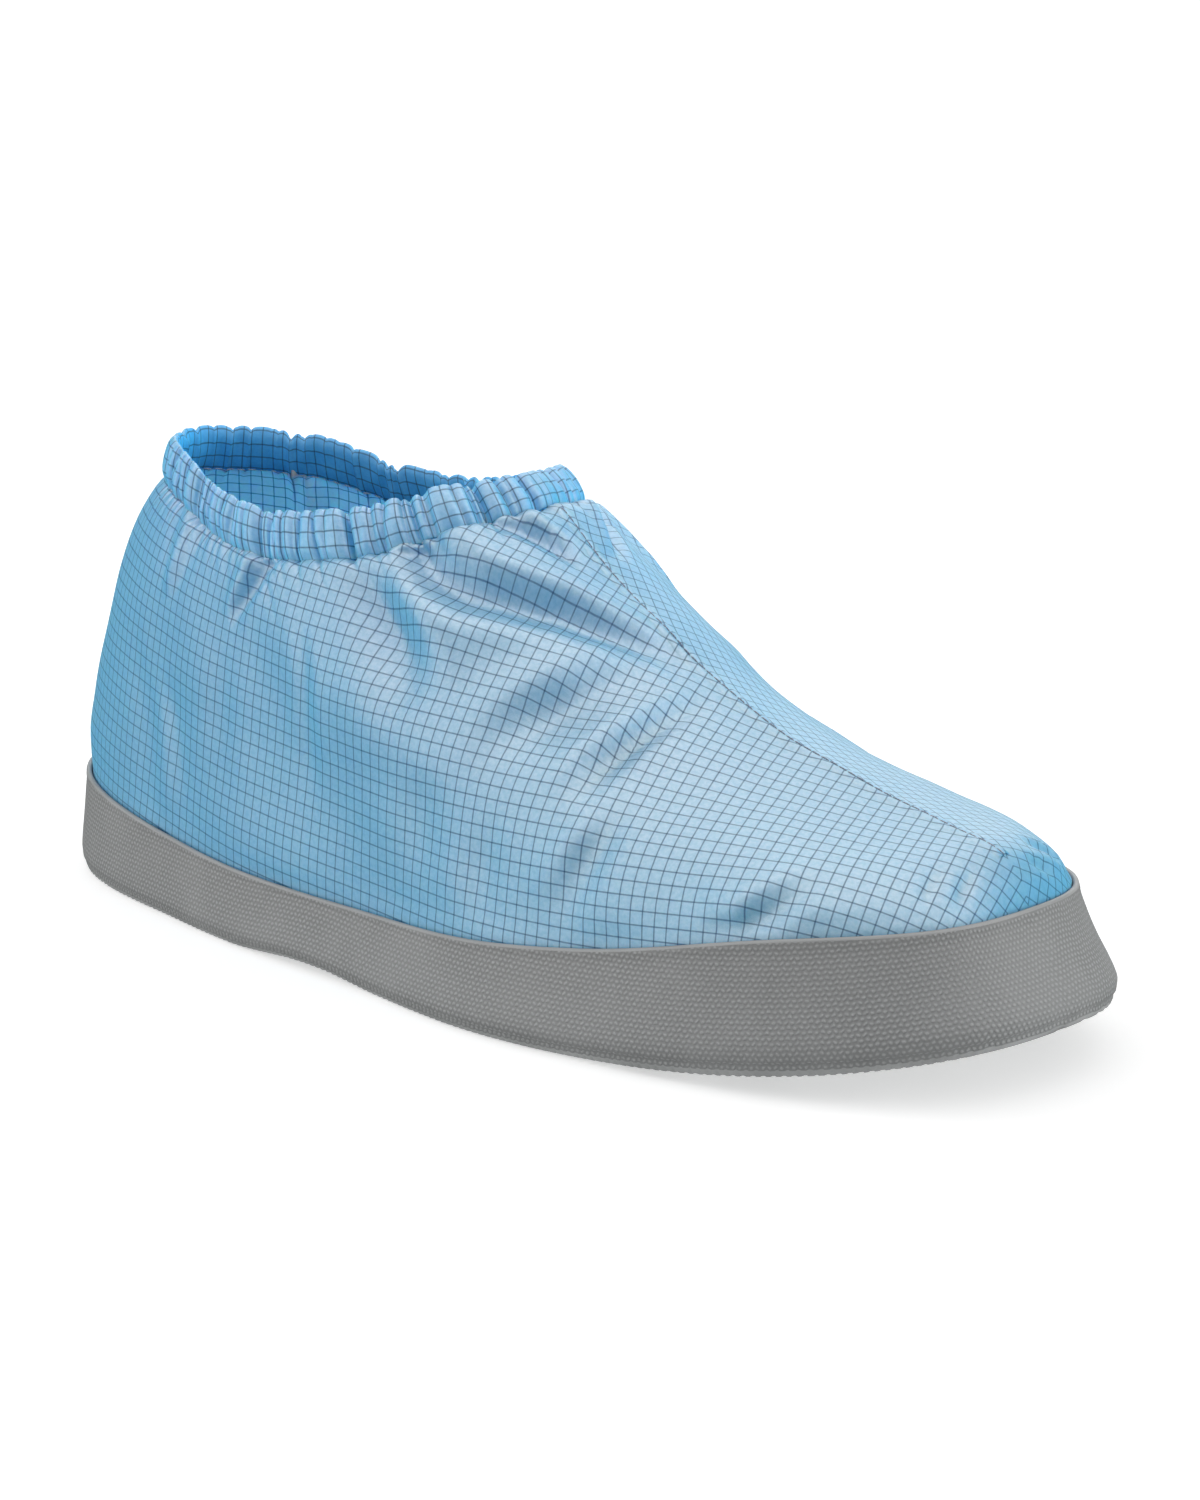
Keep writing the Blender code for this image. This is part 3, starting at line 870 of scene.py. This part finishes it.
def build_upper(panel, outside, inside):
    angle = even_angles(lambda a: upper_point(a, EVEN_LEVEL), UPPER_COLUMNS)
    level = 1 - (1 - np.linspace(0, 1, UPPER_ROWS)) ** ROW_CROWDING
    tuck, face, top = upper_rows(angle, level)
    outer = np.concatenate([tuck, face, top])
    inner = outer - out_normals(outer) * CLOTH_THICKNESS
    face_pattern = pattern_at(panel, np.append(angle, 0.0)[None, :], level[:, None])
    tuck_pattern = np.repeat(face_pattern[:1], len(tuck), axis=0)
    pattern = np.concatenate([tuck_pattern, face_pattern, face_pattern[-1:]])
    skin = Skin()
    skin.add_grid(outer, pattern)
    back = np.concatenate([outer[-1:], inner[::-1], outer[:1]])
    skin.add_grid(back, np.concatenate([pattern[-1:], pattern[::-1], pattern[:1]]), slot=1)
    piece = skin.make("cloth_upper", outside, inside)
    return piece, face, face_pattern[:, :-1]


def closed_curve(values, count):
    """A smooth closed run through a ring of values."""
    ring = list(values[-2:]) + list(values) + list(values[:3])
    at = np.arange(count) * len(values) / count + 2
    return smooth(at, np.arange(len(ring)), ring)


def build_casing(outside, inside):
    """The gathered casing: cloth folded over the elastic, pressed into pleats."""
    angle = even_angles(casing_line, CASING_COLUMNS)
    low, rim = casing_line(angle), rim_line(angle)
    normal = out_normals(np.array([low, rim]))[0]
    main = sum(depth for depth, _ in main_depths(angle))
    heights = closed_curve(column(CASING_SECTION, "height"), CASING_AROUND)
    outs = closed_curve(column(CASING_SECTION, "out"), CASING_AROUND)
    presses = closed_curve(column(CASING_SECTION, "press"), CASING_AROUND)
    rows = []
    for height, out, press in zip(heights, outs, presses):
        depth = main + small_depths(angle, height)
        row = low + (rim - low) * height
        uneven = CASING_LUMP_HEIGHT * lumps(row, CASING_LUMP_SIZE)
        row = row + normal * (out - press * depth + uneven)[:, None]
        row[:, 2] -= RIM_RUFFLE * np.clip(height, 0, 1) ** RIM_RUFFLE_POWER * (depth - depth.mean())
        rows.append(row)
    run = around_arc(rows[CASING_AROUND // 4]) / GRID_PITCH
    climb = around_arc(np.column_stack([heights * np.linalg.norm(rim[0] - low[0]), outs]))
    pattern = spread(run, climb / GRID_PITCH)
    rim_row = CASING_AROUND // 2
    rows = np.array(rows + rows[:1])
    skin = Skin()
    skin.add_grid(rows[:rim_row + 1], pattern[:rim_row + 1])
    skin.add_grid(rows[rim_row:], pattern[rim_row:], slot=1)
    return skin.make("gathered_casing", outside, inside), rows[:-1]


def ridge_line(face, pattern, side):
    """Points of the upper a distance to one side of its ridge, with their flat coordinates."""
    reach = UPPER_COLUMNS // 4
    columns = np.arange(reach) if side >= 0 else -np.arange(reach)
    points, flats = [], []
    for row, flat in zip(face[:, columns], pattern[:, columns]):
        away = np.maximum.accumulate(np.abs(row[:, 1]))
        points.append([np.interp(abs(side), away, row[:, k]) for k in range(3)])
        flats.append([np.interp(abs(side), away, flat[:, k]) for k in range(2)])
    return np.array(points), np.array(flats)


def build_seam(face, pattern, material):
    """The felled front seam: two low folds of cloth with the stitched line between them."""
    start = int(SEAM_TOE_LEVEL * UPPER_ROWS)
    lines = [ridge_line(face[start:], pattern[start:], step.side) for step in SEAM_SECTION]
    cloth = np.stack([points for points, _ in lines], axis=1)
    normal = out_normals(cloth, closed=False)
    rises = np.array(column(SEAM_SECTION, "rise"))
    top = cloth + normal * rises[None, :, None]
    under = cloth - normal * SEAM_SINK
    section = np.concatenate([top, under[:, ::-1]], axis=1)
    flat = np.stack([flats for _, flats in lines], axis=1)
    flat = np.concatenate([flat, flat[:, ::-1], flat[:, :1]], axis=1)
    skin = Skin()
    skin.add_grid(section, flat)
    for row in (0, -1):
        end = np.stack([top[row], under[row]])
        skin.add_grid(end, np.stack([flat[row, :len(rises)]] * 2), closed=False)
    middle = len(SEAM_SECTION) // 2
    return skin.make("felled_seam", material), top[:, middle], normal[:, middle]


def build_stitches(name, line, normal, stitch, material):
    """A row of thread stitches that lie along a line on the cloth."""
    run = arc_length(line)
    pitch = stitch.length + stitch.gap
    skin = Skin()
    turn = np.arange(STITCH_SIDES) * 2 * np.pi / STITCH_SIDES
    for start in np.arange(stitch.gap, run[-1] - pitch, pitch):
        ends = np.array([start, start + stitch.length])
        points = np.column_stack([np.interp(ends, run, line[:, k]) for k in range(3)])
        out = np.array([np.interp(ends.mean(), run, normal[:, k]) for k in range(3)])
        along = points[1] - points[0]
        across = unit(np.cross(along, out))
        rows = []
        for place, girth in STITCH_SHAPE:
            centre = points.mean(axis=0) + along * place
            ring = np.cos(turn)[:, None] * across + np.sin(turn)[:, None] * out
            rows.append(centre + ring * stitch.radius * girth)
        flat = np.zeros((len(rows), STITCH_SIDES + 1, 2))
        flat[..., 0] = np.linspace(0, 1, STITCH_SIDES + 1)
        flat[..., 1] = np.linspace(start, start + stitch.length, len(rows))[:, None]
        skin.add_grid(np.array(rows), flat)
    return skin.make(name, material)


def groove(points):
    """Depth of the wavy cross ribs under the sole, from 0 on a rib to 1 in a groove."""
    wave = TREAD_WAVE * np.sin(2 * np.pi * points[..., 1] / TREAD_WAVE_LENGTH)
    rib = np.cos(2 * np.pi * (points[..., 0] + wave) / TREAD_PITCH)
    return ease(rib * RIB_SHARPNESS)


def across_grid(loop, count):
    """Rungs of points from the left to the right of a loop that is the same on both sides."""
    half = len(loop) // 2
    left, right = loop[1:half], loop[:half:-1]
    t = np.linspace(0, 1, count)[None, :, None]
    return left[:, None, :] * (1 - t) + right[:, None, :] * t


def no_lift(grid):
    """The lift of a cap that stays level."""
    return np.zeros(grid.shape[:2])


def add_cap(skin, loop, count, scale, lift, slot=0):
    """Fills a loop with rungs, its two ends closed by a fan."""
    grid = across_grid(loop, count)
    grid = grid + lift(grid)[..., None] * np.array([0, 0, 1.0])
    grid[:, 0] = loop[1:len(loop) // 2]
    grid[:, -1] = loop[:len(loop) // 2:-1]
    skin.add_grid(grid, grid[..., :2] / scale, closed=False, slot=slot)
    for rung, tip in ((grid[0], loop[0]), (grid[-1], loop[len(loop) // 2])):
        fan = np.stack([np.repeat(tip[None], count, axis=0), rung])
        skin.add_grid(fan, fan[..., :2] / scale, closed=False, slot=slot)


def sole_wall_steps():
    """Finer steps up the sole's side than the part has, on the same section."""
    given = np.array(column(SIDE_STEPS, "height"))
    heights = np.unique(np.concatenate([given, np.linspace(*FINE_WALL_SPAN, SOLE_WALL_ROWS)]).round(4))
    leans = smooth(heights, given, column(SIDE_STEPS, "lean"))
    insets = np.interp(heights, given, column(SIDE_STEPS, "inset"))
    return zip(heights, leans, insets)


def build_sole(wall_material, plain_material):
    """The moulded cup: ribbed tread, embossed wall, rounded lip and plain inside."""
    angle = even_angles(outline, SOLE_COLUMNS)
    share = share_at(angle)
    tread, edge, lean = tread_height(share), edge_height(share), edge_lean(share)
    bands = {"tread": [], "wall": [], "lip": []}
    for height, step_lean, inset in sole_wall_steps():
        row = plan_loop(angle, step_lean * lean + inset, tread + height * (edge - tread))
        row[:, 2] += TREAD_DEPTH * groove(row) * ease(1 - height / GROOVE_HEIGHT)
        bands["tread" if height < TREAD_BAND_HEIGHT else "wall"].append(row)
    bands["tread"].append(bands["wall"][0])
    for step in LIP_STEPS:
        bands["lip"].append(plan_loop(angle, lean + step.inset, edge - step.drop))
    bands["wall"].append(bands["lip"][0])
    bands["lip"].append(plan_loop(angle, lean + LIP_THICKNESS, floor_height(share)))

    run = around_arc(outline(angle)) / DOT_PITCH
    skin = Skin()
    for name, rows in bands.items():
        rows = np.array(rows)
        climb = np.concatenate([np.zeros((1, SOLE_COLUMNS)),
                                np.cumsum(np.linalg.norm(np.diff(rows, axis=0), axis=-1), axis=0)])
        climb = np.concatenate([climb, climb[:, :1]], axis=1) / DOT_ROW_PITCH
        pattern = np.stack([np.broadcast_to(run, climb.shape), climb], -1)
        skin.add_grid(rows, pattern, slot=0 if name == "wall" else 1)
    add_cap(skin, bands["tread"][0], SOLE_ACROSS, DOT_PITCH, no_lift, 1)
    add_cap(skin, bands["lip"][-1], SOLE_ACROSS, DOT_PITCH, no_lift, 1)
    return skin.make("moulded_sole", wall_material, plain_material)


def build_insole(material):
    """A thin cloth-covered pad with rounded edges and a slight crown."""
    angle = even_angles(outline, INSOLE_COLUMNS)
    share = share_at(angle)
    inset = edge_lean(share) + LIP_THICKNESS + GAP + CLOTH_WALL + GAP
    under = floor_height(share) + GAP
    rows = np.array([plan_loop(angle, inset + round_in, under + height)
                     for height, round_in in INSOLE_ROUND])
    run = around_arc(rows[0]) / GRID_PITCH
    climb = np.array([height for height, _ in INSOLE_ROUND]) / GRID_PITCH
    skin = Skin()
    skin.add_grid(rows, spread(run, climb))
    add_cap(skin, rows[0], INSOLE_ACROSS, GRID_PITCH, no_lift)
    crown = INSOLE_CROWN * np.sin(np.linspace(0, np.pi, INSOLE_ACROSS))
    add_cap(skin, rows[-1], INSOLE_ACROSS, GRID_PITCH,
            lambda grid: np.broadcast_to(crown, grid.shape[:2]))
    return skin.make("padded_insole", material)


# Materials

class Shader:
    """A Principled material with short ways to add nodes to it."""

    # Places of the colour sockets on a Mix node
    MIX_FIRST = 6
    MIX_SECOND = 7
    MIX_RESULT = 2

    def __init__(self, name, **settings):
        self.material = bpy.data.materials.new(name)
        self.material.use_nodes = True
        self.tree = self.material.node_tree
        self.surface = self.tree.nodes["Principled BSDF"]
        for socket, value in settings.items():
            self.surface.inputs[socket.replace("_", " ")].default_value = value

    def node(self, kind, *inputs, **settings):
        made = self.tree.nodes.new(kind)
        for name, value in settings.items():
            setattr(made, name, value)
        for socket, value in zip(made.inputs, inputs):
            self.put(socket, value)
        return made.outputs[0]

    def put(self, socket, value):
        if isinstance(value, bpy.types.NodeSocket):
            self.tree.links.new(value, socket)
        elif value is not None:
            socket.default_value = value

    def fill(self, made, values):
        """Sets the inputs of a node from a row of named values."""
        for name, value in values._asdict().items():
            made.inputs[name.capitalize()].default_value = value

    def math(self, operation, *inputs):
        return self.node("ShaderNodeMath", *inputs, operation=operation)

    def ramp(self, value, low, high, start, end):
        """Eases a value from start at low to end at high."""
        return self.node("ShaderNodeMapRange", value, low, high, start, end,
                         interpolation_type="SMOOTHSTEP")

    def mix(self, factor, first, second):
        made = self.tree.nodes.new("ShaderNodeMix")
        made.data_type = "RGBA"
        self.put(made.inputs["Factor"], factor)
        self.put(made.inputs[self.MIX_FIRST], first)
        self.put(made.inputs[self.MIX_SECOND], second)
        return made.outputs[self.MIX_RESULT]

    def toned(self, value, tones):
        """The deep tone where a value is low and the light one where it is high."""
        return self.mix(self.ramp(value, *TONE_RANGE, 0.0, 1.0), tones.deep, tones.light)

    def weighted(self, values, weights):
        """The sum of values, each times its weight."""
        parts = [self.math("MULTIPLY", *pair) for pair in zip(values, weights)]
        total = parts[0]
        for part in parts[1:]:
            total = self.math("ADD", total, part)
        return total

    def noise(self, vector, mottle):
        made = self.tree.nodes.new("ShaderNodeTexNoise")
        self.put(made.inputs["Vector"], vector)
        self.fill(made, mottle)
        return made.outputs["Fac"]

    def bump(self, height, relief):
        made = self.tree.nodes.new("ShaderNodeBump")
        self.fill(made, relief)
        self.put(made.inputs["Height"], height)
        self.link("Normal", made.outputs["Normal"])

    def pattern(self):
        """The piece's own map, as a vector and its two parts."""
        made = self.tree.nodes.new("ShaderNodeUVMap")
        made.uv_map = "pattern"
        parts = self.tree.nodes.new("ShaderNodeSeparateXYZ")
        self.tree.links.new(made.outputs["UV"], parts.inputs[0])
        return made.outputs["UV"], parts.outputs["X"], parts.outputs["Y"]

    def place(self):
        made = self.tree.nodes.new("ShaderNodeTexCoord")
        return made.outputs["Object"]

    def link(self, name, value):
        """Leads a value into one of the surface's own sockets."""
        self.tree.links.new(value, self.surface.inputs[name])


def line_mask(shader, coordinate):
    """1 on the dark threads of the cloth's grid, 0 between them."""
    fraction = shader.math("FRACT", coordinate)
    centred = shader.math("SUBTRACT", fraction, 0.5)
    away = shader.math("SUBTRACT", 0.5, shader.math("ABSOLUTE", centred))
    low, high = LINE_HALF_WIDTH - LINE_SOFTNESS, LINE_HALF_WIDTH + LINE_SOFTNESS
    return shader.ramp(away, low, high, 1.0, 0.0)


def weave_height(shader, u, v):
    """The over and under of the cloth's fine threads."""
    turns = 2 * np.pi * THREADS_PER_SQUARE
    waves = [shader.math("SINE", shader.math("MULTIPLY", part, turns)) for part in (u, v)]
    return shader.math("MULTIPLY", *waves)


def cloth_material(name, face):
    """Woven cloth with a fine dark grid, under a pale and rough coat that the dark threads lack."""
    shader = Shader(name, Roughness=0.6, Specular_IOR_Level=0.2, Coat_Roughness=0.55, Coat_IOR=2.2,
                    Subsurface_Weight=face.depth, Subsurface_Radius=(0.25, 0.6, 1.0),
                    Subsurface_Scale=0.003)
    vector, u, v = shader.pattern()
    grain = shader.noise(vector, CLOTH_GRAIN)
    cloudy = shader.noise(shader.place(), CLOTH_CLOUDS)
    flecks = shader.noise(vector, CLOTH_FLECKS)
    ground = shader.toned(shader.weighted((grain, cloudy, flecks), CLOTH_TONE_SHARES), face.tones)

    across, along = line_mask(shader, u), line_mask(shader, v)
    lines = shader.math("MAXIMUM", across, along)
    knots = shader.math("MULTIPLY", across, along)
    wear = shader.ramp(shader.noise(vector, WORN_LINES), *PATCH_RANGE, *LINE_WEAR)
    drawn = shader.weighted((lines, knots), (LINE_STRENGTH, 1 - LINE_STRENGTH))
    strength = shader.math("MULTIPLY", drawn, wear)
    shader.link("Base Color", shader.mix(strength, ground, GRID_LINE_COLOUR))

    nap = shader.ramp(flecks, *PATCH_RANGE, NAP_SHARE * face.veil, face.veil)
    shader.link("Coat Weight", shader.math("MULTIPLY", shader.math("SUBTRACT", 1.0, strength), nap))
    weave = weave_height(shader, u, v)
    shader.bump(shader.weighted((weave, grain, lines), CLOTH_RELIEF_SHARES), CLOTH_RELIEF)
    return shader.material


def thread_material(name, tones):
    """Twisted sewing thread, deep in the twist's grooves and light on its crests: painted shade in the
    grooves.
    """
    shader = Shader(name, Roughness=0.55, Sheen_Weight=0.2)
    _, u, v = shader.pattern()
    twist = shader.math("SINE", shader.math("MULTIPLY", shader.math("ADD", u, v), 2 * np.pi * THREAD_TWIST))
    shader.link("Base Color", shader.mix(shader.ramp(twist, -1.0, 1.0, 0.0, 1.0), tones.deep, tones.light))
    shader.bump(twist, THREAD_RELIEF)
    return shader.material


def dot_height(shader, u, v):
    """Rows of round dots, every other row set half a step along."""
    row = shader.math("FLOOR", v)
    half_step = shader.math("MULTIPLY", shader.math("MODULO", row, 2.0), 0.5)
    across = shader.math("SUBTRACT", shader.math("FRACT", shader.math("ADD", u, half_step)), 0.5)
    up = shader.math("SUBTRACT", shader.math("FRACT", v), 0.5)
    far = shader.math("ADD", shader.math("MULTIPLY", across, across), shader.math("MULTIPLY", up, up))
    return shader.ramp(shader.math("SQRT", far), DOT_TOP_RADIUS, DOT_FOOT_RADIUS, 1.0, 0.0)


def sole_wall_material():
    """Matt grey moulded wall with rows of small raised dots, coloured lighter than the ground between them:
    a painted highlight on the dots.
    """
    shader = Shader("embossed_rubber", Roughness=0.58)
    vector, u, v = shader.pattern()
    dots = dot_height(shader, u, v)
    ground = shader.toned(shader.noise(shader.place(), WALL_CLOUDS), WALL_TONES)
    # The dots take the lighter colour: a painted highlight on them
    shader.link("Base Color", shader.mix(dots, ground, DOT_HIGHLIGHT_COLOUR))
    fine = shader.noise(vector, WALL_GRAIN)
    shader.bump(shader.weighted((dots, fine), (1.0, WALL_GRAIN_SHARE)), WALL_RELIEF)
    return shader.material


def sole_plain_material():
    """The same compound where it is smooth: lip, tread and inside, coloured lighter than the wall's ground
    as a painted highlight on the lip that lightens the tread and inside too.
    """
    shader = Shader("smooth_rubber")
    place = shader.place()
    cloudy = shader.noise(place, RUBBER_CLOUDS)
    shader.link("Base Color", shader.toned(cloudy, RUBBER_AND_HIGHLIGHT_TONES))
    shader.link("Roughness", shader.ramp(cloudy, *TONE_RANGE, *RUBBER_ROUGHNESS))
    shader.bump(shader.noise(place, RUBBER_GRAIN), RUBBER_RELIEF)
    return shader.material


def insole_material():
    """Plain woven cover cloth, darker than the upper."""
    shader = Shader("insole_cloth", Roughness=0.85, Sheen_Weight=0.3)
    vector, u, v = shader.pattern()
    grain = shader.noise(vector, INSOLE_GRAIN)
    shader.link("Base Color", shader.toned(grain, INSOLE_TONES))
    shader.bump(shader.math("ADD", weave_height(shader, u, v), grain), INSOLE_RELIEF)
    return shader.material


# Stage

def build_floor():
    mesh = bpy.data.meshes.new("floor")
    half = FLOOR_SIZE / 2
    corners = [(-half, -half, 0), (half, -half, 0), (half, half, 0), (-half, half, 0)]
    mesh.from_pydata(corners, [], [(0, 1, 2, 3)])
    floor = bpy.data.objects.new("floor", mesh)
    bpy.context.scene.collection.objects.link(floor)
    shader = Shader("pale_floor", Roughness=0.9, Base_Color=(0.9, 0.9, 0.9, 1), Specular_IOR_Level=0.1,
                    Emission_Color=(1, 1, 1, 1), Emission_Strength=FLOOR_GLOW)
    mesh.materials.append(shader.material)
    floor.visible_diffuse = False
    floor.visible_glossy = False
    floor.visible_shadow = False


def build_lights():
    for sun in SUNS:
        light = bpy.data.lights.new(sun.name, "SUN")
        light.energy = sun.strength
        light.angle = np.radians(sun.spread)
        lamp = bpy.data.objects.new(sun.name, light)
        lamp.rotation_euler = Vector(sun.toward).to_track_quat("Z", "Y").to_euler()
        lamp.visible_diffuse = not sun.gloss
        lamp.visible_glossy = sun.gloss
        bpy.context.scene.collection.objects.link(lamp)
    world = bpy.data.worlds.new("studio")
    world.use_nodes = True
    bpy.context.scene.world = world
    backdrop = world.node_tree.nodes["Background"]
    backdrop.inputs["Color"].default_value = (1, 1, 1, 1)
    backdrop.inputs["Strength"].default_value = WORLD_STRENGTH
    world.cycles_visibility.glossy = False
    bpy.context.scene.view_settings.view_transform = "Standard"


def build_camera():
    lens = bpy.data.cameras.new("camera")
    lens.sensor_fit = "HORIZONTAL"
    lens.sensor_width = SENSOR_WIDTH
    lens.lens = CAMERA_FOCAL_PIXELS / IMAGE_WIDTH * SENSOR_WIDTH
    lens.clip_start = NEAREST_SEEN
    camera = bpy.data.objects.new("camera", lens)
    camera.location = CAMERA_PLACE
    back = Vector(CAMERA_PLACE) - Vector(CAMERA_TARGET)
    camera.rotation_euler = back.to_track_quat("Z", "Y").to_euler()
    bpy.context.scene.collection.objects.link(camera)
    bpy.context.scene.camera = camera


def stand_for(piece, node):
    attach(piece, "root")
    if node:
        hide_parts(node)


def dress():
    cloth = cloth_material("grid_cloth", OUTSIDE)
    # The upper's inner material carries painted light: the cloth's tones made paler
    inside = cloth_material("cloth_inside", INSIDE)
    # The casing's inner material carries painted light: the cloth's tones made brighter and bluer
    casing_inside = cloth_material("casing_inside", CASING_INSIDE)
    # The casing's outer material carries painted light: the cloth's tones made lighter
    gathered = cloth_material("gathered_cloth", CASING_OUTSIDE)
    dark_thread = thread_material("dark_thread", DARK_THREAD_TONES)
    pale_thread = thread_material("pale_thread", PALE_THREAD_TONES)

    panel = panel_pattern()
    upper, face, pattern = build_upper(panel, cloth, inside)
    stand_for(upper, "upper")
    casing, casing_rows = build_casing(gathered, casing_inside)
    stand_for(casing, "collar_casing")
    seam, seam_line, seam_normal = build_seam(face, pattern, cloth)
    stand_for(seam, "front_seam")
    stitches = build_stitches("seam_stitches", seam_line, seam_normal, SEAM_STITCH, dark_thread)
    stand_for(stitches, None)

    inner = casing_rows[HEM_ROW]
    inner_normal = unit(inner - casing_rows[HEM_FACING_ROW])
    hem = build_stitches("casing_stitches", wrapped(inner), wrapped(inner_normal), CASING_STITCH,
                         pale_thread)
    stand_for(hem, None)

    sole = build_sole(sole_wall_material(), sole_plain_material())
    stand_for(sole, "outsole")
    insole = build_insole(insole_material())
    stand_for(insole, "insole")


build_camera()
build_lights()
build_floor()
dress()
